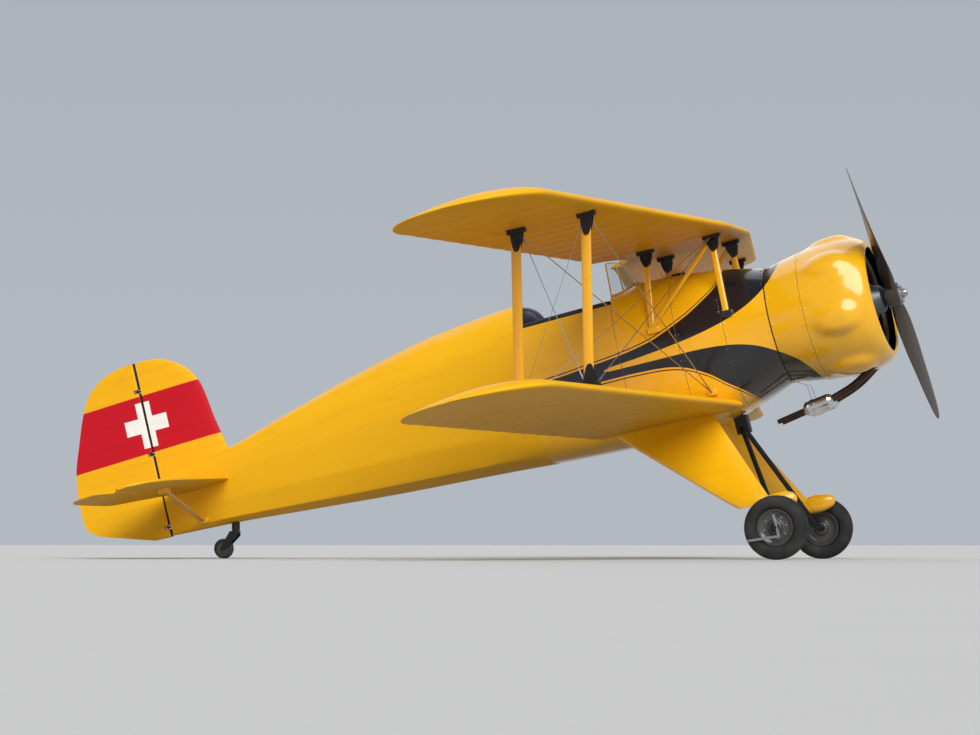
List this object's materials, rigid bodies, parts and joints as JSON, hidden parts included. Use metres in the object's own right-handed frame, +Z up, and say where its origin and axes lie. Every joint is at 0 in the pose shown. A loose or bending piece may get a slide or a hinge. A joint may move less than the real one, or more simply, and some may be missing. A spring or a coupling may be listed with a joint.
{
  "type": "aerobatic biplane",
  "caption": "Aerobatic biplane with swept wings, an open cockpit, a radial engine in a blistered cowl, faired main gear legs and a steerable tail wheel.",
  "frame": {"origin": "on the floor, under the middle of the aircraft's length and span", "axes": "+X forward to the propeller, +Y to the aircraft's left wing tips, +Z up; it stands on its gear, so its thrust line points 13.8 degrees above +X"},
  "size_m": [5.9846, 6.6, 2.5442],
  "materials": {
    "fabric": "doped and painted fabric, gloss",
    "metal": "gloss enamel",
    "strut": "gloss enamel",
    "wire": "drawn steel",
    "engine": "grey enamel and cast",
    "exhaust": "heat-darkened",
    "propeller": "dark satin paint",
    "hub": "machined",
    "tyre": "matt",
    "rim": "painted disc",
    "leather": "stitched, dark",
    "panel": "matt black",
    "seat": "bare sheet",
    "glass": "clear"
  },
  "bodies": {
    "airframe": {"fuselage_nose": "metal", "fuselage_cockpit": "metal", "fuselage_rear": "fabric", "cockpit_coaming": "leather", "headrest": "leather", "windscreen_frame": "metal", "windscreen_glass": "glass", "seat": "seat", "instrument_panel": "panel", "control_stick": "panel", "cowl": "metal", "engine": "engine", "exhaust": "exhaust", "wing_centre_section": "fabric", "upper_wing_left": "fabric", "upper_wing_right": "fabric", "lower_wing_left": "fabric", "lower_wing_right": "fabric", "cabane_left": "strut", "cabane_right": "strut", "interplane_front_left": "strut", "interplane_front_right": "strut", "interplane_rear_left": "strut", "interplane_rear_right": "strut", "flying_wires_left": "wire", "flying_wires_right": "wire", "landing_wires_left": "wire", "landing_wires_right": "wire", "fin": "fabric", "tailplane": "fabric", "tail_strut_left": "strut", "tail_strut_right": "strut", "gear_leg_left": "metal", "gear_leg_right": "metal", "axle_left": "exhaust", "axle_right": "exhaust", "tail_leg": "exhaust"},
    "propeller": {"propeller_blades": "propeller", "propeller_hub": "hub"},
    "wheel_left": {"tyre_left": "tyre", "wheel_hub_left": "rim"},
    "wheel_right": {"tyre_right": "tyre", "wheel_hub_right": "rim"},
    "tail_swivel": {"tail_fork": "exhaust"},
    "tail_wheel_body": {"tail_wheel": "tyre"},
    "rudder_body": {"rudder": "fabric"},
    "elevator_body": {"elevator": "fabric"},
    "aileron_upper_left_body": {"aileron_upper_left": "fabric"},
    "aileron_upper_right_body": {"aileron_upper_right": "fabric"},
    "aileron_lower_left_body": {"aileron_lower_left": "fabric"},
    "aileron_lower_right_body": {"aileron_lower_right": "fabric"}
  },
  "joints": [
    {"name": "propeller_spin", "type": "hinge", "parent": "airframe", "child": "propeller", "pos_m": [2.80464, 0, 1.74574], "axis": [0.9713, 0, 0.2379], "continuous": true},
    {"name": "wheel_left_spin", "type": "hinge", "parent": "airframe", "child": "wheel_left", "pos_m": [2.16188, 0.75, 0.20868], "axis": [0, 1, 0], "continuous": true},
    {"name": "wheel_right_spin", "type": "hinge", "parent": "airframe", "child": "wheel_right", "pos_m": [2.16188, -0.75, 0.20868], "axis": [0, 1, 0], "continuous": true},
    {"name": "tail_swivel_turn", "type": "hinge", "parent": "airframe", "child": "tail_swivel", "pos_m": [-1.80974, 0, 0.19848], "axis": [0, 0, 1], "range_deg": [-35, 35]},
    {"name": "tail_wheel_spin", "type": "hinge", "parent": "tail_swivel", "child": "tail_wheel_body", "pos_m": [-1.89646, 0, 0.06914], "axis": [0, 1, 0], "continuous": true},
    {"name": "rudder_hinge", "type": "hinge", "parent": "airframe", "child": "rudder_body", "pos_m": [-2.44369, 0, 0.76904], "axis": [-0.2379, 0, 0.9713], "range_deg": [-30, 30]},
    {"name": "elevator_hinge", "type": "hinge", "parent": "airframe", "child": "elevator_body", "pos_m": [-2.23415, 0, 0.46002], "axis": [0, 1, 0], "range_deg": [-28, 28]},
    {"name": "aileron_upper_right_hinge", "type": "hinge", "parent": "airframe", "child": "aileron_upper_right_body", "pos_m": [0.65633, -2.215, 2.06189], "axis": [0.1973, 0.9803, -0.0046], "range_deg": [-22, 22]},
    {"name": "aileron_lower_right_hinge", "type": "hinge", "parent": "airframe", "child": "aileron_lower_right_body", "pos_m": [0.71063, -2.215, 0.89807], "axis": [0.1993, 0.9799, -0.0129], "range_deg": [-22, 22]},
    {"name": "aileron_upper_left_hinge", "type": "hinge", "parent": "airframe", "child": "aileron_upper_left_body", "pos_m": [0.65633, 2.215, 2.06189], "axis": [-0.1973, 0.9803, 0.0046], "range_deg": [-22, 22]},
    {"name": "aileron_lower_left_hinge", "type": "hinge", "parent": "airframe", "child": "aileron_lower_left_body", "pos_m": [0.71063, 2.215, 0.89807], "axis": [-0.1993, 0.9799, 0.0129], "range_deg": [-22, 22]}
  ],
  "couplings": [
    {"joint": "aileron_lower_right_hinge", "follows": "aileron_upper_right_hinge", "ratio": 1},
    {"joint": "aileron_upper_left_hinge", "follows": "aileron_upper_right_hinge", "ratio": -1},
    {"joint": "aileron_lower_left_hinge", "follows": "aileron_upper_right_hinge", "ratio": -1}
  ]
}
